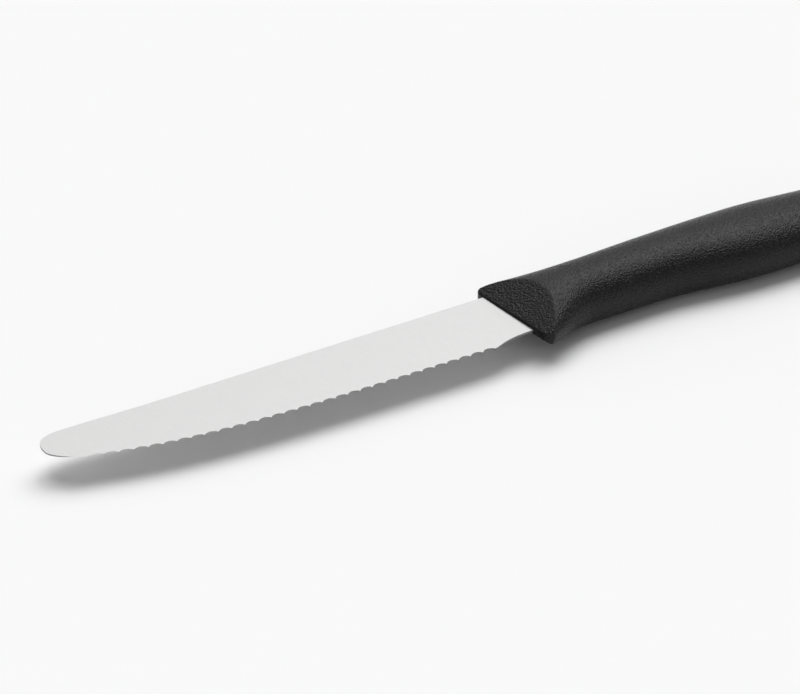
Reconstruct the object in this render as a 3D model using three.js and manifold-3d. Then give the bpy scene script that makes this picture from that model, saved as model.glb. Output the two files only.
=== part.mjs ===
import * as THREE from 'three';
import { mergeVertices } from 'three/addons/utils/BufferGeometryUtils.js';
import Module from 'manifold-3d';

// Serrated table knife lying on its flank, in millimetres. +X runs from the tip to the butt, +Y from the
// cutting edge to the spine, and +Z is up. While it is drawn, the tip is at X = 0, the straight run of the
// spine at Y = 0 and the blade's middle plane at Z = 0. The finished knife is then set down on its flank.

const wasm = await Module();
wasm.setup();

// Blade
const bladeLength = 110; // tip to handle front
const sheetThickness = 1; // the sheet that the blade is stamped from, left full in the tang
const heelEdgeThickness = 0.45; // ground thickness over the last cusp
const tipThickness = 0.35; // ground thickness at the foremost point
const grindRunout = 0.3; // the grinding ends this far ahead of the handle's front
const heelFlare = 0.03; // from there each face rises by this for each millimetre, up to the full sheet
const bladeHeight = 19.45; // spine to the last cusp
const tipSweepLength = 28; // the spine rises gently over this length
const tipSweepRise = 0.48;
const tipRoundLength = 7.1; // from the tip back to the highest point of the spine
const tipDrop = 5.5; // the foremost point lies this far under the spine
const edgeSlope = 0.0107; // straight part of the edge line, rise for each millimetre towards the tip
const edgeTipRise = 6.93; // curved part of the edge line, added up at the first cusp
const edgeTipPower = 4.78;
const choilLength = 10.5; // plain curve between the last cusp and the handle, at least this long
const choilRise = 2.2;

// How far the blade's curves run on straight at their ends, as shares of each curve's own run
const sweepFullness = 1 / 3;
const tipTopFullness = 0.65;
const tipFrontFullness = 0.84;
const cheekFrontFullness = 0.3;
const cheekEdgeFullness = 0.45;
const choilEdgeFullness = 0.2;
const choilEdgeLift = 0.17; // share of the choil's rise that this end has already climbed
const choilHeelFullness = 0.65;

// Serration: hollow scallops ground from the lower face
const serrationStart = 6.4; // first cusp, from the tip
const serrationPitch = 3;
const serrationDepth = 0.58;
const cuspFlat = 0.12; // flat left between two scallops
const grindAngle = THREE.MathUtils.degToRad(30); // between the hollow and the blade's face
const grindSides = 48;

// Tang, inside the handle
const heelDepth = 6; // the blade keeps its heel height this far into the handle
const tangHeight = 9;
const tangEndCover = 25; // plastic behind the tang
const tangEndRadius = 3;
const lockHoleRadius = 2.6;
const lockHoleInset = 15; // hole centre from the shoulder, and from the tang's end

// Handle. Each station of the grip has its distance from the one before, its reach above the spine and below
// the blade's heel, negative where the grip is narrower than the blade, and its thickness.
const mouldGap = 0.25; // between the tang and the plastic round it
const frontAboveSpine = 3.2;
const frontBelowHeel = 5.85;
const frontThickness = 9;
const frontCornerRadius = 2; // rounds the ends of the front edge
const noseWall = 0.2; // plastic over each face of the blade, at the front edge
const facetAngle = THREE.MathUtils.degToRad(30); // front facets, to the blade's plane
const frontSlant = THREE.MathUtils.degToRad(3.2); // the front's lean, the spine side ahead
const throatRun = 18;
const throatAboveSpine = -0.65;
const throatBelowHeel = -0.9;
const throatThickness = 12.5;
const waistRun = 18;
const waistAboveSpine = 0.1;
const waistBelowHeel = -1.05;
const waistThickness = 12.8;
const palmRun = 24;
const palmAboveSpine = 0.85;
const palmBelowHeel = 1.75;
const palmThickness = 13.3;
const rearRun = 22;
const rearAboveSpine = -0.75;
const rearBelowHeel = 2.15;
const rearThickness = 12.2;
const buttRun = 18;
const buttAboveSpine = -2.85;
const buttBelowHeel = -0.15;
const buttThickness = 11;
const buttRoundLength = 13; // the butt closes over this length
const sectionPower = 2.2; // 2 would be an ellipse, more is squarer
const sectionSides = 40;
const stationStep = 3;
const buttRings = 8;

const curveSteps = 14; // points on each drawn curve
const cutMargin = 2; // how far a cutter stands clear of what it cuts
const cornerTolerance = 1e-5; // corners closer than this are one

const halfSheet = sheetThickness / 2;
const heelHeight = bladeHeight - choilRise;
const handleLength = throatRun + waistRun + palmRun + rearRun + buttRun;
const frontHeight = frontAboveSpine + heelHeight + frontBelowHeel;
const tangEnd = bladeLength + handleLength - tangEndCover;
const tangMiddle = (waistAboveSpine - heelHeight - waistBelowHeel) / 2;
const serrationRun = bladeLength - choilLength - serrationStart;
const scallopCount = Math.floor(serrationRun / serrationPitch);
const lastCusp = serrationStart + scallopCount * serrationPitch;

// Closed solid from a geometry, with its shared corners joined and the slivers at its poles left out
function solidFrom(geometry) {
  const bare = geometry.clone();
  bare.deleteAttribute('normal');
  bare.deleteAttribute('uv');
  const merged = mergeVertices(bare, cornerTolerance);
  const index = merged.index.array;
  const corners = [];
  for (let i = 0; i < index.length; i += 3) {
    const [a, b, c] = [index[i], index[i + 1], index[i + 2]];
    if (a !== b && b !== c && c !== a) corners.push(a, b, c);
  }
  const vertProperties = new Float32Array(merged.attributes.position.array);
  const triVerts = new Uint32Array(corners);
  return new wasm.Manifold(new wasm.Mesh({ numProp: 3, vertProperties, triVerts }));
}

function meshFrom(solid, name, material) {
  const { vertProperties, triVerts } = solid.getMesh();
  const geometry = new THREE.BufferGeometry();
  geometry.setAttribute('position', new THREE.BufferAttribute(vertProperties, 3));
  geometry.setIndex(new THREE.BufferAttribute(triVerts, 1));
  const flat = geometry.toNonIndexed();
  flat.computeVertexNormals();
  const mesh = new THREE.Mesh(flat, material);
  mesh.name = name;
  return mesh;
}

// Plate of a drawn outline, as thick as asked, with its middle plane at Z = 0
function plate(shape, thickness) {
  const geometry = new THREE.ExtrudeGeometry(shape, {
    depth: thickness,
    bevelEnabled: false,
    curveSegments: curveSteps,
  });
  geometry.translate(0, 0, -thickness / 2);
  return geometry;
}

// Height of the line that the cusps stand on
function edgeLine(x) {
  const fromHeel = lastCusp - x;
  const share = fromHeel / (lastCusp - serrationStart);
  return -bladeHeight + edgeSlope * fromHeel + edgeTipRise * share ** edgeTipPower;
}

// Slope of that line, negative because it falls towards the heel
function edgeLineSlope(x) {
  const run = lastCusp - serrationStart;
  const share = (lastCusp - x) / run;
  return -edgeSlope - (edgeTipRise * edgeTipPower * share ** (edgeTipPower - 1)) / run;
}

function cusp(number) {
  const x = serrationStart + number * serrationPitch;
  return new THREE.Vector2(x, edgeLine(x));
}

// Blade and tang in one outline: from the spine round the tip, along the cusps, and back along the tang
function bladeShape() {
  const shape = new THREE.Shape();
  const shoulder = bladeLength + heelDepth;
  const tangTop = tangMiddle + tangHeight / 2;
  const tangBottom = tangMiddle - tangHeight / 2;
  const first = cusp(0);
  const sweepPull = sweepFullness * (tipSweepLength - tipRoundLength);
  const tipPull = tipTopFullness * tipRoundLength;
  const tipFall = tipFrontFullness * tipDrop;
  const cheekFall = cheekFrontFullness * (-first.y - tipDrop);
  const cheekPull = cheekEdgeFullness * first.x;
  const choilRun = bladeLength - lastCusp;

  shape.moveTo(shoulder, 0);
  shape.lineTo(tipSweepLength, 0);
  shape.bezierCurveTo(
    tipSweepLength - sweepPull, 0,
    tipRoundLength + sweepPull, tipSweepRise,
    tipRoundLength, tipSweepRise,
  );
  shape.bezierCurveTo(tipRoundLength - tipPull, tipSweepRise, 0, tipFall - tipDrop, 0, -tipDrop);
  shape.bezierCurveTo(
    0, -tipDrop - cheekFall,
    first.x - cheekPull, first.y - cheekPull * edgeLineSlope(first.x),
    first.x, first.y,
  );
  for (let number = 1; number <= scallopCount; number += 1) {
    const point = cusp(number);
    shape.lineTo(point.x, point.y);
  }
  shape.bezierCurveTo(
    lastCusp + choilEdgeFullness * choilRun, choilEdgeLift * choilRise - bladeHeight,
    bladeLength - choilHeelFullness * choilRun, -heelHeight,
    bladeLength, -heelHeight,
  );
  shape.lineTo(shoulder, -heelHeight);
  shape.lineTo(shoulder, tangBottom);
  shape.lineTo(tangEnd - tangEndRadius, tangBottom);
  shape.quadraticCurveTo(tangEnd, tangBottom, tangEnd, tangBottom + tangEndRadius);
  shape.lineTo(tangEnd, tangTop - tangEndRadius);
  shape.quadraticCurveTo(tangEnd, tangTop, tangEnd - tangEndRadius, tangTop);
  shape.lineTo(shoulder, tangTop);
  shape.holes.push(...lockHoles(lockHoleRadius));
  return shape;
}

function lockHoles(radius) {
  const places = [bladeLength + heelDepth + lockHoleInset, tangEnd - lockHoleInset];
  return places.map((x) => new THREE.Path().absarc(x, tangMiddle, radius, 0, 2 * Math.PI, true));
}

// Half thickness left by the grinding. Each ground face is one plane, as high as the sheet's own face on the
// spine at the handle's front, and falls from there towards the edge and the tip.
function groundHalf(x, y) {
  const toEdge = (sheetThickness - heelEdgeThickness) / 2 / bladeHeight;
  const toTip = ((sheetThickness - tipThickness) / 2 - toEdge * tipDrop) / bladeLength;
  return halfSheet + toEdge * y + toTip * (x - bladeLength);
}

// Where the grinding ends, on a line along the handle's front
function runout(y) {
  return bladeLength - grindRunout - (y + heelHeight / 2) * Math.tan(frontSlant);
}

// Metal ground away from one face, down to its plane. Its rear end is the slow rise back to the full sheet.
function grindCutter(side) {
  const height = bladeHeight + tipSweepRise + 2 * cutMargin;
  const block = new THREE.BoxGeometry(bladeLength, height, sheetThickness);
  block.translate(0, tipSweepRise + cutMargin - height / 2, 0);
  const position = block.attributes.position;
  for (let i = 0; i < position.count; i += 1) {
    const y = position.getY(i);
    const lift = Math.sign(position.getZ(i)) === side ? sheetThickness : 0;
    const x = position.getX(i) < 0 ? -cutMargin : runout(y) + lift / heelFlare;
    position.setXYZ(i, x, y, side * (groundHalf(x, y) + lift));
  }
  return block;
}

// Round cutter for the scallop between two cusps. It leans, so that the hollow is deep at the lower face and
// runs out to a thin edge at the upper one.
function scallopCutter(number) {
  const start = cusp(number);
  const end = cusp(number + 1);
  const chord = start.distanceTo(end) - cuspFlat;
  const sagitta = serrationDepth * Math.sin(grindAngle);
  const radius = (chord ** 2 / 4 + sagitta ** 2) / (2 * sagitta);
  const along = new THREE.Vector3(end.x - start.x, end.y - start.y, 0).normalize();
  const outward = new THREE.Vector3(along.y, -along.x, 0);
  const axis = outward.clone().multiplyScalar(Math.cos(grindAngle));
  axis.z = Math.sin(grindAngle);
  const middle = start.clone().lerp(end, 0.5);
  const upperFace = groundHalf(middle.x, middle.y);
  const centre = new THREE.Vector3(middle.x, middle.y, upperFace);
  centre.addScaledVector(outward, radius / Math.sin(grindAngle) - serrationDepth);

  const reach = sheetThickness / Math.sin(grindAngle) + radius / Math.tan(grindAngle) + cutMargin;
  const cutter = new THREE.CylinderGeometry(radius, radius, 2 * reach, grindSides);
  const place = new THREE.Matrix4().makeBasis(along, axis, along.clone().cross(axis));
  place.setPosition(centre);
  return cutter.applyMatrix4(place);
}

function blade() {
  const stamped = solidFrom(plate(bladeShape(), sheetThickness));
  let solid = stamped.subtract(solidFrom(grindCutter(1))).subtract(solidFrom(grindCutter(-1)));
  for (let number = 0; number < scallopCount; number += 1) {
    solid = solid.subtract(solidFrom(scallopCutter(number)));
  }
  return meshFrom(solid, 'blade', satinSteel());
}

// Smooth line through the stations that stays level at each of its peaks and hollows
function smoothLine(stations, key) {
  const spans = stations.slice(1).map((end, i) => {
    const start = stations[i];
    const width = end.at - start.at;
    const rise = end[key] - start[key];
    return { start, end, width, rise, slope: rise / width };
  });
  const slopes = stations.map((place, i) => {
    const before = spans[Math.max(0, i - 1)].slope;
    const after = spans[Math.min(spans.length - 1, i)].slope;
    return before * after > 0 ? (2 * before * after) / (before + after) : 0;
  });
  return (at) => {
    const found = spans.findIndex((span) => at < span.end.at);
    const i = found < 0 ? spans.length - 1 : found;
    const { start, width, rise } = spans[i];
    const t = (at - start.at) / width;
    const leaving = slopes[i] * width * t * (1 - t) ** 2;
    const arriving = slopes[i + 1] * width * t ** 2 * (1 - t);
    return start[key] + rise * t ** 2 * (3 - 2 * t) + leaving - arriving;
  };
}

function handleStations() {
  let at = 0;
  const next = (run, aboveSpine, belowHeel, thickness) => {
    at += run;
    return { at, top: aboveSpine, bottom: -heelHeight - belowHeel, half: thickness / 2 };
  };
  return [
    next(0, frontAboveSpine, frontBelowHeel, frontThickness),
    next(throatRun, throatAboveSpine, throatBelowHeel, throatThickness),
    next(waistRun, waistAboveSpine, waistBelowHeel, waistThickness),
    next(palmRun, palmAboveSpine, palmBelowHeel, palmThickness),
    next(rearRun, rearAboveSpine, rearBelowHeel, rearThickness),
    next(buttRun, buttAboveSpine, buttBelowHeel, buttThickness),
  ];
}

// Rings at even steps along the grip, then closer together round the butt
function handleRings() {
  const rings = [];
  const gripEnd = handleLength - buttRoundLength;
  const steps = Math.ceil((gripEnd + cutMargin) / stationStep);
  for (let i = 0; i <= steps; i += 1) {
    rings.push({ at: -cutMargin + ((gripEnd + cutMargin) * i) / steps, closing: 1 });
  }
  for (let i = 1; i < buttRings; i += 1) {
    const turn = (i / buttRings) * (Math.PI / 2);
    rings.push({ at: gripEnd + buttRoundLength * Math.sin(turn), closing: Math.cos(turn) });
  }
  return rings;
}

// Whole grip, before its front is cut: a unit round bar, whose rings take the height and thickness of the
// stations
function gripBody() {
  const rings = handleRings();
  const stations = handleStations();
  const top = smoothLine(stations, 'top');
  const bottom = smoothLine(stations, 'bottom');
  const half = smoothLine(stations, 'half');
  const profile = rings.map((ring) => new THREE.Vector2(ring.closing, ring.at));
  profile.unshift(new THREE.Vector2(0, -cutMargin));
  profile.push(new THREE.Vector2(0, handleLength));

  const bar = new THREE.LatheGeometry(profile, sectionSides);
  const position = bar.attributes.position;
  for (let i = 0; i < position.count; i += 1) {
    const at = position.getY(i);
    const across = squarer(position.getZ(i), position.getX(i));
    const upper = top(at);
    const lower = bottom(at);
    const y = (upper + lower) / 2 + (across.first * (upper - lower)) / 2;
    position.setXYZ(i, bladeLength + at, y, across.second * half(at));
  }
  return bar;
}

// Point of a circle pushed out to the squarer section, with its distance from the middle kept as a share
function squarer(first, second) {
  const share = Math.hypot(first, second);
  if (share === 0) return { first: 0, second: 0 };
  const push = (part) => share * Math.sign(part) * Math.abs(part / share) ** (2 / sectionPower);
  return { first: push(first), second: push(second) };
}

// Wedge that keeps the grip behind its front: a narrow nose with a facet sloping back from each side
function frontWedge() {
  const nose = noseHalf();
  const half = gripHalf();
  const facetRun = facetReach();
  const back = handleLength + facetRun;
  const width = 2 * (frontHeight + slantDrift());
  const profile = new THREE.Shape();
  profile.moveTo(0, -nose);
  profile.lineTo(facetRun, -half);
  profile.lineTo(back, -half);
  profile.lineTo(back, half);
  profile.lineTo(facetRun, half);
  profile.lineTo(0, nose);
  const wedge = plate(profile, width);
  wedge.rotateX(Math.PI / 2);
  return setFront(wedge);
}

// Plate that rounds the two ends of the front edge. Behind them it widens, clear of the grip.
function frontCorners() {
  const length = handleLength + facetReach();
  const spread = slantDrift() + cutMargin;
  const radius = frontCornerRadius;
  const outline = new THREE.Shape();
  outline.moveTo(length, spread);
  outline.lineTo(radius, 0);
  outline.absarc(radius, -radius, radius, Math.PI / 2, Math.PI, false);
  outline.lineTo(0, radius - frontHeight);
  outline.absarc(radius, radius - frontHeight, radius, Math.PI, 1.5 * Math.PI, false);
  outline.lineTo(length, -frontHeight - spread);
  const corners = plate(outline, 2 * gripHalf());
  corners.translate(0, frontAboveSpine + heelHeight / 2, 0);
  return setFront(corners);
}

// How far the front's lean carries a cutter sideways over the handle's length
function slantDrift() {
  return handleLength * Math.tan(frontSlant);
}

// Turns a cutter to the front's lean and sets it at the handle's front
function setFront(cutter) {
  cutter.rotateZ(frontSlant);
  cutter.translate(bladeLength, -heelHeight / 2, 0);
  return cutter;
}

// Half thickness that clears the thickest station
function gripHalf() {
  const halves = handleStations().map((place) => place.half);
  return Math.max(...halves) + cutMargin;
}

function noseHalf() {
  return halfSheet + mouldGap + noseWall;
}

// Length over which the facets reach the full thickness of the cutter
function facetReach() {
  return (gripHalf() - noseHalf()) / Math.tan(facetAngle);
}

// Room for the heel and the tang, open at the front, with the lock holes left as pegs
function tangPocket() {
  const shape = new THREE.Shape();
  const shoulder = bladeLength + heelDepth + mouldGap;
  const tangTop = tangMiddle + tangHeight / 2 + mouldGap;
  const tangBottom = tangMiddle - tangHeight / 2 - mouldGap;
  const end = tangEnd + mouldGap;
  const mouth = bladeLength - heelHeight * Math.tan(frontSlant) - cutMargin;
  shape.moveTo(mouth, mouldGap);
  shape.lineTo(mouth, -heelHeight - mouldGap);
  shape.lineTo(shoulder, -heelHeight - mouldGap);
  shape.lineTo(shoulder, tangBottom);
  shape.lineTo(end, tangBottom);
  shape.lineTo(end, tangTop);
  shape.lineTo(shoulder, tangTop);
  shape.lineTo(shoulder, mouldGap);
  shape.holes.push(...lockHoles(lockHoleRadius - mouldGap));
  return plate(shape, sheetThickness + 2 * mouldGap);
}

function handle() {
  const front = solidFrom(frontWedge()).intersect(solidFrom(frontCorners()));
  const body = solidFrom(gripBody()).intersect(front);
  return meshFrom(body.subtract(solidFrom(tangPocket())), 'handle', grainedPlastic());
}

function satinSteel() {
  return new THREE.MeshStandardMaterial({ color: '#d8d8d6', metalness: 1, roughness: 0.32 });
}

function grainedPlastic() {
  return new THREE.MeshStandardMaterial({ color: '#2a2a2b', metalness: 0, roughness: 0.6 });
}

const knife = new THREE.Group();
knife.add(blade(), handle());
const box = new THREE.Box3().setFromObject(knife);
const middle = box.getCenter(new THREE.Vector3());
knife.position.set(-middle.x, -middle.y, -box.min.z);
knife.updateMatrixWorld(true);

export default knife;
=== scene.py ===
import math

import bmesh
import bpy
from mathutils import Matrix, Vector, geometry


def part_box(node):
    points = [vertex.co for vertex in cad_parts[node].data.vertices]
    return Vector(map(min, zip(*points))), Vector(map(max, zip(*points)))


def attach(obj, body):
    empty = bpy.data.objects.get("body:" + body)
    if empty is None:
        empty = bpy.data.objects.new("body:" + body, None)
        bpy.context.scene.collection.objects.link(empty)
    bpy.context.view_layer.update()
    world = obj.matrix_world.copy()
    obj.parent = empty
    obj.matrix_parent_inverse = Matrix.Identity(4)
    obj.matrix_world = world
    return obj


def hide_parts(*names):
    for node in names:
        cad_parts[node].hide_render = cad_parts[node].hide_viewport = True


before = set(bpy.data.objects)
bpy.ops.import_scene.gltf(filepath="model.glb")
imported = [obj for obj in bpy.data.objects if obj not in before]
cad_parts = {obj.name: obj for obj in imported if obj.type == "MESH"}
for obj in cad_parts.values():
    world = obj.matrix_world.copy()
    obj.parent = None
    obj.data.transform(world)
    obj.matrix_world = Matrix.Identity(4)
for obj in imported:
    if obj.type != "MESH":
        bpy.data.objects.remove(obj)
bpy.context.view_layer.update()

scene = bpy.context.scene
scene.view_settings.view_transform = "Standard"


# small helpers
def eased(share):  # from 0 to 1, slow at both ends
    return share * share * (3 - 2 * share)


def limited(share):
    return min(1, max(0, share))


def spread(begin, end, count):  # the end itself is left out
    return [begin + (end - begin) * n / count for n in range(count)]


def direction(turn, rise):  # turned from +Y towards +X, then up from the floor
    return Vector((math.cos(rise) * math.sin(turn), math.cos(rise) * math.cos(turn), math.sin(rise)))


# camera, fitted to the straight spine, the scallops and the front of the handle
viewpoint = {
    "aim": (0.08022, -0.01274, 0.00328),  # middle of the picture, from the blade's tip
    "turn": math.radians(33.406),  # looks past +Y towards +X
    "drop": math.radians(28.709),  # looks down
    "distance": 1.13239,
    "lens": 247.5,  # in mm, as the sensor
    "sensor": 36,
    "nearest": 0.05,
}


def tipPlace():
    low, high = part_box("blade")
    return Vector((low.x, high.y - bladeForm["sweepRise"], (low.z + high.z) / 2))


def buildCamera():
    looks = direction(viewpoint["turn"], -viewpoint["drop"])
    data = bpy.data.cameras.new("productCamera")
    data.sensor_width = viewpoint["sensor"]
    data.lens = viewpoint["lens"]
    data.clip_start = viewpoint["nearest"]
    camera = bpy.data.objects.new("productCamera", data)
    camera.location = tipPlace() + Vector(viewpoint["aim"]) - looks * viewpoint["distance"]
    camera.rotation_euler = looks.to_track_quat("-Z", "Y").to_euler()
    scene.collection.objects.link(camera)
    scene.camera = camera


# what the pieces share
weld = 0.000002  # points closer than this are one


def partsOf(geom, kind):
    return [part for part in geom if isinstance(part, kind)]


def softEdges(bm, sharpest):
    for face in bm.faces:
        face.smooth = True
    for edge in bm.edges:
        edge.smooth = edge.calc_face_angle(0) < sharpest


def pieceFrom(bm, name, material):
    mesh = bpy.data.meshes.new(name)
    bm.to_mesh(mesh)
    bm.free()
    mesh.materials.append(material)
    piece = bpy.data.objects.new(name, mesh)
    scene.collection.objects.link(piece)
    return piece


# what the materials share
mixSockets = {"FLOAT": (2, 3, 0), "RGBA": (6, 7, 2)}  # a Mix node's two inputs and its result


def newMaterial(name):
    material = bpy.data.materials.new(name)
    material.use_nodes = True
    return material, material.node_tree.nodes["Principled BSDF"]


def pieceAttribute(nodes, name):
    node = nodes.new("ShaderNodeAttribute")
    node.attribute_name = name
    return node.outputs["Fac"]


def rangeNode(nodes, given, wanted):
    node = nodes.new("ShaderNodeMapRange")
    for socket, value in zip(("From Min", "From Max", "To Min", "To Max"), (*given, *wanted)):
        node.inputs[socket].default_value = value
    return node


def tintRamp(nodes, look):
    ramp = nodes.new("ShaderNodeValToRGB")
    for stop, position, shade in zip(ramp.color_ramp.elements, look["tintStops"], ("dark", "light")):
        stop.position = position
        stop.color = look[shade]
    return ramp


# steel, a fine satin grind with faint lines across the blade
steelLook = {
    "light": (0.64, 0.64, 0.635, 1),
    "dark": (0.60, 0.60, 0.60, 1),
    "tintStops": (0.3, 0.7),  # of the lines' noise
    "stamped": (0.25, 0.25, 0.25, 1),  # the sheared rim of the sheet, and the hollows below: partly the duller sheared steel, partly painted shade for the shadowed floor they reflect
    "roughness": (0.42, 0.50),
    "lineScale": (9000, 260, 260),  # narrow along the blade, long across it
    "lineDetail": 3,
    "lineHeight": 0.0000004,
}


def satinSteel():
    material, shader = newMaterial("satinSteel")
    nodes, links = material.node_tree.nodes, material.node_tree.links
    place = nodes.new("ShaderNodeTexCoord")
    stretch = nodes.new("ShaderNodeMapping")
    stretch.inputs["Scale"].default_value = steelLook["lineScale"]
    lines = nodes.new("ShaderNodeTexNoise")
    lines.inputs["Scale"].default_value = 1
    lines.inputs["Detail"].default_value = steelLook["lineDetail"]
    links.new(place.outputs["Object"], stretch.inputs["Vector"])
    links.new(stretch.outputs["Vector"], lines.inputs["Vector"])

    tint = tintRamp(nodes, steelLook)
    # the rims and the hollows are mixed to a darker colour: partly the duller sheared steel, partly painted
    # shade
    first, second, result = mixSockets["RGBA"]
    rimDarkening = nodes.new("ShaderNodeMix")
    rimDarkening.data_type = "RGBA"
    rimDarkening.inputs[second].default_value = steelLook["stamped"]
    links.new(lines.outputs["Fac"], tint.inputs["Fac"])
    links.new(pieceAttribute(nodes, "stamped"), rimDarkening.inputs["Factor"])
    links.new(tint.outputs["Color"], rimDarkening.inputs[first])
    links.new(rimDarkening.outputs[result], shader.inputs["Base Color"])

    gloss = rangeNode(nodes, (0, 1), steelLook["roughness"])
    links.new(lines.outputs["Fac"], gloss.inputs["Value"])
    links.new(gloss.outputs["Result"], shader.inputs["Roughness"])
    relief = nodes.new("ShaderNodeBump")
    relief.inputs["Strength"].default_value = 1
    relief.inputs["Distance"].default_value = steelLook["lineHeight"]
    links.new(lines.outputs["Fac"], relief.inputs["Height"])
    links.new(relief.outputs["Normal"], shader.inputs["Normal"])
    shader.inputs["Metallic"].default_value = 1
    return material


# moulded plastic with a leather grain: fine on the grip, coarse on the front facets, smooth round the nose
plasticLook = {
    "light": (0.0052, 0.0052, 0.0053, 1),
    "dark": (0.003, 0.003, 0.0031, 1),
    "tintStops": (0, 0.5),  # heights of the grain; the valleys get the dark colour, a painted shade of the crevices
    "roughness": (0.42, 0.15),  # valleys of the grain, ridges
    "glossStops": (-0.2, 0.4),  # heights that count as valley and ridge
    "specular": 0.28,
    "strokeTurn": math.radians(48),  # the fine grain runs in short strokes, aslant to the grip
    "strokeSize": (2.2, 0.9, 0.9),
    "fineScale": 3000,
    "coarseScale": 2000,
    "cellSmoothness": 0.6,
    "mottleScale": 1.3,  # against the cells' own scale
    "mottleDetail": 2,
    "grainHeight": 0.000135,
    "facetHeight": 0.00026,
}


def grainTexture(nodes, links, place, scale):
    cells = nodes.new("ShaderNodeTexVoronoi")
    cells.feature = "SMOOTH_F1"
    cells.inputs["Scale"].default_value = scale
    cells.inputs["Smoothness"].default_value = plasticLook["cellSmoothness"]
    mottle = nodes.new("ShaderNodeTexNoise")
    mottle.inputs["Scale"].default_value = scale * plasticLook["mottleScale"]
    mottle.inputs["Detail"].default_value = plasticLook["mottleDetail"]
    height = nodes.new("ShaderNodeMath")
    height.operation = "SUBTRACT"
    links.new(place, cells.inputs["Vector"])
    links.new(place, mottle.inputs["Vector"])
    links.new(mottle.outputs["Fac"], height.inputs[0])
    links.new(cells.outputs["Distance"], height.inputs[1])
    return height.outputs["Value"]


def grainedPlastic():
    material, shader = newMaterial("grainedPlastic")
    nodes, links = material.node_tree.nodes, material.node_tree.links
    place = nodes.new("ShaderNodeTexCoord").outputs["Object"]
    facet = pieceAttribute(nodes, "facet")
    grained = pieceAttribute(nodes, "grained")
    strokes = nodes.new("ShaderNodeMapping")
    strokes.vector_type = "TEXTURE"
    strokes.inputs["Rotation"].default_value = (0, 0, plasticLook["strokeTurn"])
    strokes.inputs["Scale"].default_value = plasticLook["strokeSize"]
    links.new(place, strokes.inputs["Vector"])

    first, second, result = mixSockets["FLOAT"]
    grain = nodes.new("ShaderNodeMix")
    fine = grainTexture(nodes, links, strokes.outputs["Vector"], plasticLook["fineScale"])
    coarse = grainTexture(nodes, links, place, plasticLook["coarseScale"])
    links.new(facet, grain.inputs["Factor"])
    links.new(fine, grain.inputs[first])
    links.new(coarse, grain.inputs[second])
    height = grain.outputs[result]

    depth = rangeNode(nodes, (0, 1), (plasticLook["grainHeight"], plasticLook["facetHeight"]))
    links.new(facet, depth.inputs["Value"])
    relief = nodes.new("ShaderNodeBump")
    links.new(grained, relief.inputs["Strength"])
    links.new(depth.outputs["Result"], relief.inputs["Distance"])
    links.new(height, relief.inputs["Height"])
    links.new(relief.outputs["Normal"], shader.inputs["Normal"])
    # the grain's valleys are coloured darker: painted shade of the crevices
    tint = tintRamp(nodes, plasticLook)
    links.new(height, tint.inputs["Fac"])
    links.new(tint.outputs["Color"], shader.inputs["Base Color"])
    gloss = rangeNode(nodes, plasticLook["glossStops"], plasticLook["roughness"])
    links.new(height, gloss.inputs["Value"])
    links.new(gloss.outputs["Result"], shader.inputs["Roughness"])
    shader.inputs["Specular IOR Level"].default_value = plasticLook["specular"]
    return material


# blade with its tang, drawn from the tip and the spine, then set in the place of the CAD blade
bladeForm = {
    "length": 0.110,  # tip to the handle's front
    "sheet": 0.001,
    "edgeThickness": 0.00045,
    "tipThickness": 0.00035,
    "height": 0.01945,  # spine to the last cusp
    "heelHeight": 0.01725,
    "sweepLength": 0.028,  # gentle rise of the spine behind the tip
    "sweepRise": 0.00048,
    "roundLength": 0.0071,
    "tipDrop": 0.0055,
    "tipPull": (0.35, 0.16),  # bend of the tip's upper curve, in shares of roundLength and tipDrop
    "cheekPull": (0.3, 0.45),  # bend of its lower curve, in shares of its fall and of its length
    "cheekMiddle": 0.0086,  # behind the tip, what the lower curve runs round
    "edgeSlope": 0.0107,  # straight part of the edge line, then its bend up to the tip
    "edgeTipRise": 0.00693,
    "edgeTipPower": 4.78,
    "firstCusp": 0.0064,
    "pitch": 0.003,
    "scallops": 31,
    "depth": 0.00082,
    "cuspFlat": 0.00006,
    "cuspStep": 0.0001,  # over which the edge's slope is measured at the first cusp
    "edgeStep": 0.0005,  # and on both sides of a place further back
    "choilPull": (0.2, 0.17, 0.65),  # bend of the choil, in shares of its run, its rise and its run
    "grind": math.radians(30),  # slope of the hollows on the lower face
    "grindStart": (0.001, 0.0042),  # it cuts in slowly behind the tip
    "grindEnd": 0.0003,
    "groundEnd": 0.114,  # inside the handle
    "shoulder": 0.116,
    "tangMiddle": -0.00805,  # from the spine
    "tangHeight": 0.009,
    "tangEnd": 0.185,
    "tangRadius": 0.003,
    "tangPull": 0.45,  # bend of the tang's corners, in shares of tangRadius
    "lockHoles": (0.131, 0.170),
    "lockRadius": 0.0026,
    "lockSides": 48,
    "curveSteps": 36,
    "arcSteps": 12,
    "rim": 0.00006,  # rounding of the spine, the tip and the choil
    "rimSteps": 2,
    "rimAngle": 0.9,  # in radians, and only sharper edges get a rim
    "rimLevel": 0.0001,  # an edge that climbs more runs through the sheet and gets none
    "rimHollow": 0.02,  # share of the hollow from which the edge stays keen
    "stampedTilt": 0.9,  # a face that points up or down by less gets the darker rim colour, partly painted shade
    "groundTilt": 0.999,  # one that does by more is a flat ground face
    "sharpest": math.radians(28),
}


def lastCusp():
    return bladeForm["firstCusp"] + bladeForm["scallops"] * bladeForm["pitch"]


def cuspPoint(x):
    fromHeel = lastCusp() - x
    share = max(0, fromHeel) / (lastCusp() - bladeForm["firstCusp"])
    lift = bladeForm["edgeSlope"] * fromHeel + bladeForm["edgeTipRise"] * share ** bladeForm["edgeTipPower"]
    return Vector((x, lift - bladeForm["height"], 0))


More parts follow.
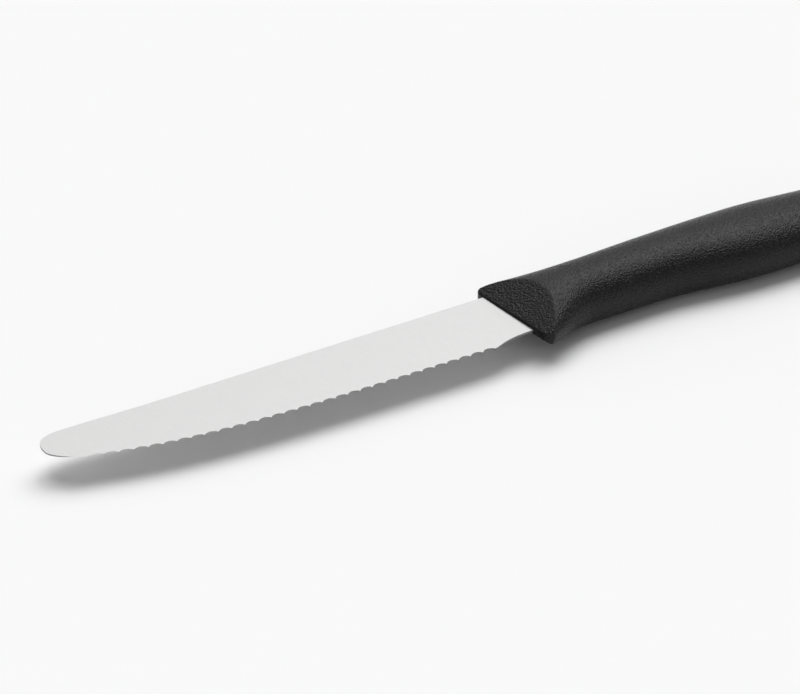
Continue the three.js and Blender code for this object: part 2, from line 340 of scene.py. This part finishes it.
def groundHalf(point):  # half of the thickness that the grinding leaves
    blade = bladeForm
    if point.x > blade["groundEnd"]:
        return blade["sheet"] / 2
    toEdge = (blade["sheet"] - blade["edgeThickness"]) / 2 / blade["height"]
    toTip = ((blade["sheet"] - blade["tipThickness"]) / 2 - toEdge * blade["tipDrop"]) / blade["length"]
    return blade["sheet"] / 2 + toEdge * point.y + toTip * (point.x - blade["length"])


def walk(bm, here, points):
    for point in points:
        there = bm.verts.new(point)
        bm.edges.new((here, there))
        here = there
    return here


def curve(start, pullStart, pullEnd, end):
    corners = [Vector((x, y, 0)) for x, y in (start, pullStart, pullEnd, end)]
    return geometry.interpolate_bezier(*corners, bladeForm["curveSteps"])[1:]


def drawTip(bm, here):
    blade = bladeForm
    sweep, rise = blade["sweepLength"], blade["sweepRise"]
    tipRound, drop = blade["roundLength"], blade["tipDrop"]
    pullBack, pullDown = blade["tipPull"]
    cheekFall, cheekRun = blade["cheekPull"]
    first = cuspPoint(blade["firstCusp"])
    slope = (cuspPoint(blade["firstCusp"] + blade["cuspStep"]).y - first.y) / blade["cuspStep"]
    cheek = cheekRun * first.x
    third = (sweep - tipRound) / 3
    here = walk(bm, here, [Vector((sweep, 0, 0))])
    here = walk(bm, here, curve((sweep, 0), (sweep - third, 0), (tipRound + third, rise), (tipRound, rise)))
    here = walk(bm, here, curve(
        (tipRound, rise), (pullBack * tipRound, rise), (0, -pullDown * drop), (0, -drop)))
    return walk(bm, here, curve(
        (0, -drop), (0, cheekFall * first.y - (1 - cheekFall) * drop),
        (first.x - cheek, first.y - cheek * slope), (first.x, first.y)))


def drawScallops(bm, here):
    blade = bladeForm
    for number in range(blade["scallops"]):
        start = cuspPoint(blade["firstCusp"] + number * blade["pitch"])
        end = cuspPoint(blade["firstCusp"] + (number + 1) * blade["pitch"])
        along = (end - start).normalized()
        inward = Vector((-along.y, along.x, 0))
        half = ((end - start).length - blade["cuspFlat"]) / 2
        radius = (half ** 2 + blade["depth"] ** 2) / (2 * blade["depth"])
        centre = (start + end) / 2 + inward * (blade["depth"] - radius)
        here = walk(bm, here, [start + along * blade["cuspFlat"] / 2])
        arc = bmesh.ops.spin(bm, geom=[here], cent=centre, axis=(0, 0, -1), dvec=(0, 0, 0),
                             angle=2 * math.asin(half / radius), steps=blade["arcSteps"], use_merge=False)
        here = partsOf(arc["geom_last"], bmesh.types.BMVert)[0]
    return walk(bm, here, [end])


def drawTang(bm, here, start):
    blade = bladeForm
    length, height, heel = blade["length"], blade["height"], blade["heelHeight"]
    run, rise = length - lastCusp(), height - heel
    runStart, riseStart, runEnd = blade["choilPull"]
    here = walk(bm, here, curve(
        (lastCusp(), -height), (lastCusp() + runStart * run, riseStart * rise - height),
        (length - runEnd * run, -heel), (length, -heel)))
    top = blade["tangMiddle"] + blade["tangHeight"] / 2
    bottom = blade["tangMiddle"] - blade["tangHeight"] / 2
    end, radius = blade["tangEnd"], blade["tangRadius"]
    back, pull = end - radius, blade["tangPull"] * radius
    here = walk(bm, here, [Vector((blade["shoulder"], y, 0)) for y in (-heel, bottom)])
    here = walk(bm, here, [Vector((back, bottom, 0))])
    here = walk(bm, here, curve(
        (back, bottom), (end - pull, bottom), (end, bottom + pull), (end, bottom + radius)))
    here = walk(bm, here, [Vector((end, top - radius, 0))])
    here = walk(bm, here, curve((end, top - radius), (end, top - pull), (end - pull, top), (back, top)))
    here = walk(bm, here, [Vector((blade["shoulder"], top, 0))])
    bm.edges.new((here, start))


def hollowShare(point):  # how far the hollows have cut in here
    begin, full = bladeForm["grindStart"]
    if point.y > -bladeForm["tipDrop"] or point.x > lastCusp():
        return 0
    ending = limited((lastCusp() - point.x) / bladeForm["grindEnd"])
    return eased(limited((point.x - begin) / (full - begin))) * ending


def hollowInward(point):
    if point.x < bladeForm["firstCusp"]:
        return (Vector((bladeForm["cheekMiddle"], -bladeForm["tipDrop"], 0)) - point).normalized()
    step = bladeForm["edgeStep"]
    along = (cuspPoint(point.x + step) - cuspPoint(point.x - step)).normalized()
    return Vector((-along.y, along.x, 0))


def wantsRim(edge):
    blade = bladeForm
    here, there = (vert.co for vert in edge.verts)
    if max(here.x, there.x) >= blade["shoulder"] or abs(here.z - there.z) >= blade["rimLevel"]:
        return False
    keen = max(hollowShare(here), hollowShare(there)) > blade["rimHollow"]
    return edge.calc_face_angle(0) > blade["rimAngle"] and not keen


def buildBlade(material):
    blade = bladeForm
    bm = bmesh.new()
    start = bm.verts.new((blade["shoulder"], 0, 0))
    drawTang(bm, drawScallops(bm, drawTip(bm, start)), start)
    bmesh.ops.remove_doubles(bm, verts=bm.verts[:], dist=weld)
    for x in blade["lockHoles"]:
        hole = bmesh.ops.create_circle(bm, cap_ends=False, segments=blade["lockSides"],
                                       radius=blade["lockRadius"])
        bmesh.ops.translate(bm, verts=hole["verts"], vec=(x, blade["tangMiddle"], 0))
    bmesh.ops.triangle_fill(bm, use_beauty=True, use_dissolve=True, edges=bm.edges[:])
    bmesh.ops.bisect_plane(bm, geom=bm.verts[:] + bm.edges[:] + bm.faces[:], dist=weld / 2,
                           plane_co=(blade["groundEnd"] - weld, 0, 0), plane_no=(1, 0, 0))

    # raise the sheet, then grind both faces and lean the hollows in from below
    lower = bm.verts[:]
    raised = bmesh.ops.extrude_face_region(bm, geom=bm.faces[:])
    for vert in partsOf(raised["geom"], bmesh.types.BMVert):
        vert.co.z = groundHalf(vert.co)
    for vert in lower:
        share = hollowShare(vert.co)
        if share:
            vert.co += hollowInward(vert.co) * share * 2 * groundHalf(vert.co) / math.tan(blade["grind"])
        vert.co.z = -groundHalf(vert.co)
    bmesh.ops.recalc_face_normals(bm, faces=bm.faces[:])
    rims = [edge for edge in bm.edges if wantsRim(edge)]
    bmesh.ops.bevel(bm, geom=rims, offset=blade["rim"], offset_type="OFFSET", segments=blade["rimSteps"],
                    profile=0.5, affect="EDGES", clamp_overlap=True, material=-1)

    # darker colour on the rims and the hollows below: partly the duller sheared steel, partly painted shade
    stamped = bm.faces.layers.float.new("stamped")
    for face in bm.faces:
        face[stamped] = 1 if abs(face.normal.z) < blade["stampedTilt"] else 0
    grounds = [face for face in bm.faces if abs(face.normal.z) > blade["groundTilt"]]
    bmesh.ops.translate(bm, verts=bm.verts[:], vec=tipPlace())
    softEdges(bm, blade["sharpest"])
    for face in grounds:
        face.smooth = False
    piece = pieceFrom(bm, "knifeBlade", material)
    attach(piece, "root")
    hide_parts("blade")


# handle, lofted from rings: out of the slot, round the nose, along the grip and over the butt
handleForm = {
    "stations": (  # behind the front, above the spine, below the heel, thickness
        (0, 0.0032, 0.00585, 0.009),
        (0.018, -0.00065, -0.0009, 0.0125),
        (0.036, 0.0001, -0.00105, 0.0128),
        (0.060, 0.00085, 0.00175, 0.013299),
        (0.082, -0.00075, 0.00215, 0.0122),
        (0.100, -0.00285, -0.00015, 0.011),
    ),
    "buttRound": 0.013,
    "squareness": 2.2,  # 2 would be an ellipse
    "noseHalf": 0.00078,
    "noseRound": 0.00024,
    "facetSlope": math.tan(math.radians(31)),
    "cornerRadius": (0.002, 0.0034),  # ends of the front edge, spine side and edge side
    "lean": math.tan(math.radians(3.2)),  # the spine side stands ahead
    "leanEnd": 0.030,  # it has faded here, behind the facets
    "crispness": 80,  # sharpness of the edge round each facet
    "noseCrispness": 0.3,  # share of it at the front
    "crispRun": 0.004,  # the share grows by 1 over this length, and stops at 1
    "slotGap": 0.00003,  # plastic to steel at the mouth
    "slotDepth": 0.00625,  # to just behind the shoulder of the blade
    "sides": 256,
    "tracePoints": 720,  # of a section, before the sides are spaced evenly
    "rings": {"nose": 8, "front": 16, "facets": 70, "grip": 84, "butt": 24},
    "frontRun": 0.0016,  # behind the nose
    "facetRun": (0.002, 0.014),  # closer rings, where the facets end
    "facetSlack": 0.00012,  # a point this close to a facet's plane is on it
    "facetStart": 0.0002,
    "grainFade": (0.00015, 0.00045),  # from the smooth nose to the full grain
    "sharpest": math.radians(50),
}
tiny = 1e-6  # keeps the divisions by a direction away from zero


def smoothLine(places, values):  # through every station, without overshoot
    rises = [(values[i + 1] - values[i]) / (places[i + 1] - places[i]) for i in range(len(values) - 1)]
    slopes = [rises[0]]
    for before, after in zip(rises, rises[1:]):
        slopes.append(2 * before * after / (before + after) if before * after > 0 else 0)
    slopes.append(rises[-1])

    def at(back):
        i = max([0] + [n for n in range(1, len(rises)) if places[n] <= back])
        width = places[i + 1] - places[i]
        share = (back - places[i]) / width
        bend = width * share * (1 - share) * (slopes[i] * (1 - share) - slopes[i + 1] * share)
        return values[i] + (values[i + 1] - values[i]) * eased(share) + bend
    return at


def gripLines():
    places, above, below, thickness = zip(*handleForm["stations"])
    bottom = [-bladeForm["heelHeight"] - reach for reach in below]
    half = [full / 2 for full in thickness]
    return [smoothLine(places, values) for values in (above, bottom, half)]


def roundOff(back, radius):  # what a round of this radius takes away
    return radius - math.sqrt(radius ** 2 - (radius - back) ** 2) if back < radius else 0


def evenly(points, count):  # the same closed outline, with equal steps
    lengths = [0]
    for here, there in zip(points, points[1:] + points[:1]):
        lengths.append(lengths[-1] + (there - here).length)
    spaced, i = [], 0
    for n in range(count):
        want = lengths[-1] * n / count
        while lengths[i + 1] < want:
            i += 1
        share = (want - lengths[i]) / (lengths[i + 1] - lengths[i])
        spaced.append(points[i].lerp(points[(i + 1) % len(points)], share))
    return spaced


def gripRing(back, closing, lines):
    grip, heel = handleForm, bladeForm["heelHeight"]
    top, bottom, half = (line(back) for line in lines)
    middle, reach = (top + bottom) / 2, (top - bottom) / 2 * closing
    half *= closing

    # the facets and the rounded ends of the front edge limit the section
    facet = grip["noseHalf"] + back * grip["facetSlope"] - roundOff(back, grip["noseRound"])
    above, below = grip["stations"][0][1:3]
    upper, lower = (roundOff(back, radius) for radius in grip["cornerRadius"])
    highest, lowest = above - upper - middle, middle + heel + below - lower
    crisp = grip["crispness"] * min(1, grip["noseCrispness"] + back / grip["crispRun"])
    power = grip["squareness"]
    points = []
    for n in range(grip["tracePoints"]):
        turn = 2 * math.pi * n / grip["tracePoints"]
        y, z = reach * math.cos(turn), min(half, facet) * math.sin(turn)
        far = math.hypot(y, z)
        y, z = y / far, z / far
        radius = (abs(y / reach) ** power + abs(z / half) ** power) ** (-1 / power)
        if back <= grip["leanEnd"]:
            end = highest if y > 0 else lowest
            limits = [radius, facet / max(abs(z), tiny), end / max(abs(y), tiny)]
            least = min(limits)
            radius = least * sum((least / limit) ** crisp for limit in limits) ** (-1 / crisp)
        points.append(Vector((0, middle + radius * y, radius * z)))

    ring = evenly(points, grip["sides"])
    lean = grip["lean"] * eased(max(0, 1 - back / grip["leanEnd"]))
    for point in ring:
        point.x = bladeForm["length"] + back - lean * (point.y + heel / 2)
    return ring


def ringPlaces():
    grip, counts = handleForm, handleForm["rings"]
    nose, butt = grip["noseRound"], grip["buttRound"]
    facetsFrom, facetsTo = grip["facetRun"]
    buttStart = grip["stations"][-1][0] - butt
    backs = [nose * (1 - math.cos(turn)) for turn in spread(0, math.pi / 2, counts["nose"])]
    backs += spread(nose, nose + grip["frontRun"], counts["front"])
    backs += spread(facetsFrom, facetsTo, counts["facets"])
    backs += spread(facetsTo, buttStart, counts["grip"])
    places = [(back, 1) for back in backs]
    for turn in spread(0, math.pi / 2, counts["butt"]):
        places.append((buttStart + butt * math.sin(turn), math.cos(turn)))
    return places


def slotRing(mouth, x, top, bottom, half):  # without an x it lies in the mouth, tight on the ground steel
    ring = []
    for point in mouth:
        y = min(top, max(bottom, point.y))
        reach = groundHalf(Vector((point.x, y, 0))) + handleForm["slotGap"] if x is None else half
        ring.append(Vector((point.x if x is None else x, y, min(reach, max(-reach, point.z)))))
    return ring


def slotRings(mouth):
    blade, gap = bladeForm, handleForm["slotGap"]
    half = blade["sheet"] / 2 + gap
    reach = blade["tangHeight"] / 2 + gap
    tang = (blade["tangMiddle"] + reach, blade["tangMiddle"] - reach, half)
    heel = (gap, -blade["heelHeight"] - gap, half)
    shoulder = blade["length"] + handleForm["slotDepth"]
    return [slotRing(mouth, blade["tangEnd"] + gap, *tang), slotRing(mouth, shoulder, *tang),
            slotRing(mouth, shoulder, *heel), slotRing(mouth, None, *heel)]


def loft(rings):
    bm = bmesh.new()
    turn = bm.verts.layers.int.new("turn")
    verts = bmesh.ops.create_circle(bm, cap_ends=False, segments=handleForm["sides"], radius=1)["verts"]
    edges = bm.edges[:]
    for n, vert in enumerate(verts):
        vert[turn] = n
        vert.co = rings[0][n]
    bmesh.ops.contextual_create(bm, geom=edges)  # end of the slot
    for ring in rings[1:]:
        grown = bmesh.ops.extrude_edge_only(bm, edges=edges)["geom"]
        verts = set(partsOf(grown, bmesh.types.BMVert))
        edges = [edge for edge in partsOf(grown, bmesh.types.BMEdge) if verts.issuperset(edge.verts)]
        for vert in verts:
            vert.co = ring[vert[turn]]
    lid = bmesh.ops.contextual_create(bm, geom=edges)["faces"]
    pole = bmesh.ops.poke(bm, faces=lid)["verts"][0]
    pole.co.x = bladeForm["length"] + handleForm["stations"][-1][0]
    return bm


def markGrain(bm):
    grip = handleForm
    begin, full = grip["grainFade"]
    facet = bm.verts.layers.float.new("facet")
    grained = bm.verts.layers.float.new("grained")
    for vert in bm.verts:
        back = vert.co.x - bladeForm["length"] + grip["lean"] * (vert.co.y + bladeForm["heelHeight"] / 2)
        off = abs(abs(vert.co.z) - grip["noseHalf"] - back * grip["facetSlope"])
        vert[facet] = 1 if off < grip["facetSlack"] and back > grip["facetStart"] else 0
        vert[grained] = limited((back - begin) / (full - begin))


def buildHandle(material):
    lines = gripLines()
    outer = [gripRing(back, closing, lines) for back, closing in ringPlaces()]
    bm = loft(slotRings(outer[0]) + outer)
    bmesh.ops.remove_doubles(bm, verts=bm.verts[:], dist=weld)
    bmesh.ops.recalc_face_normals(bm, faces=bm.faces[:])
    markGrain(bm)
    bmesh.ops.translate(bm, verts=bm.verts[:], vec=tipPlace())
    softEdges(bm, handleForm["sharpest"])
    piece = pieceFrom(bm, "knifeHandle", material)
    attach(piece, "root")
    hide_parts("handle")


buildBlade(satinSteel())
print("blade made")
buildHandle(grainedPlastic())
print("handle made")


# floor and light
studio = {
    "floorSize": 12,
    "floorColor": (0.93, 0.93, 0.93, 1),
    "keyStrength": 1.09,
    "keyAngle": math.radians(46),
    "keyTilt": (math.radians(-9), math.radians(-2), 0),  # from above and a little behind
    "glows": (  # angles in degrees
        # the room, lighter above the far side of the floor
        {"turn": 16, "tilt": 32, "edge": 44, "core": 14, "dark": 0.2, "bright": 0.58},
        # a soft panel above the handle's end
        {"turn": 66, "tilt": 54, "edge": 30, "core": 13, "dark": 0, "bright": 2.9},
        # a fill from the camera's side, into the shadow
        {"turn": 225, "tilt": 20, "edge": 45, "core": 15, "dark": 0, "bright": 0.6},
    ),
}


def buildFloor():
    bm = bmesh.new()
    bmesh.ops.create_grid(bm, x_segments=1, y_segments=1, size=studio["floorSize"] / 2)
    material, shader = newMaterial("paleFloor")
    shader.inputs["Base Color"].default_value = studio["floorColor"]
    shader.inputs["Roughness"].default_value = 1
    shader.inputs["Specular IOR Level"].default_value = 0
    floor = pieceFrom(bm, "paleFloor", material)


def buildKey():
    data = bpy.data.lights.new("overheadSoftbox", "SUN")
    data.energy = studio["keyStrength"]
    data.angle = studio["keyAngle"]
    lamp = bpy.data.objects.new("overheadSoftbox", data)
    lamp.rotation_euler = studio["keyTilt"]
    scene.collection.objects.link(lamp)


def glowShade(nodes, links, place, glow):
    turn, tilt, edge, core = (math.radians(glow[angle]) for angle in ("turn", "tilt", "edge", "core"))
    towards = nodes.new("ShaderNodeVectorMath")
    towards.operation = "DOT_PRODUCT"
    towards.inputs[1].default_value = direction(turn, tilt)
    shade = rangeNode(nodes, (math.cos(edge), math.cos(core)), (glow["dark"], glow["bright"]))
    shade.interpolation_type = "SMOOTHSTEP"
    links.new(place, towards.inputs[0])
    links.new(towards.outputs["Value"], shade.inputs["Value"])
    return shade.outputs["Result"]


def buildRoom():
    world = bpy.data.worlds.new("studioRoom")
    scene.world = world
    world.use_nodes = True
    nodes, links = world.node_tree.nodes, world.node_tree.links
    place = nodes.new("ShaderNodeTexCoord").outputs["Generated"]
    room, *others = (glowShade(nodes, links, place, glow) for glow in studio["glows"])
    for shade in others:
        both = nodes.new("ShaderNodeMath")
        links.new(room, both.inputs[0])
        links.new(shade, both.inputs[1])
        room = both.outputs["Value"]
    links.new(room, nodes["Background"].inputs["Color"])


buildFloor()
buildKey()
buildRoom()
print("studio set")
buildCamera()
print("camera set")
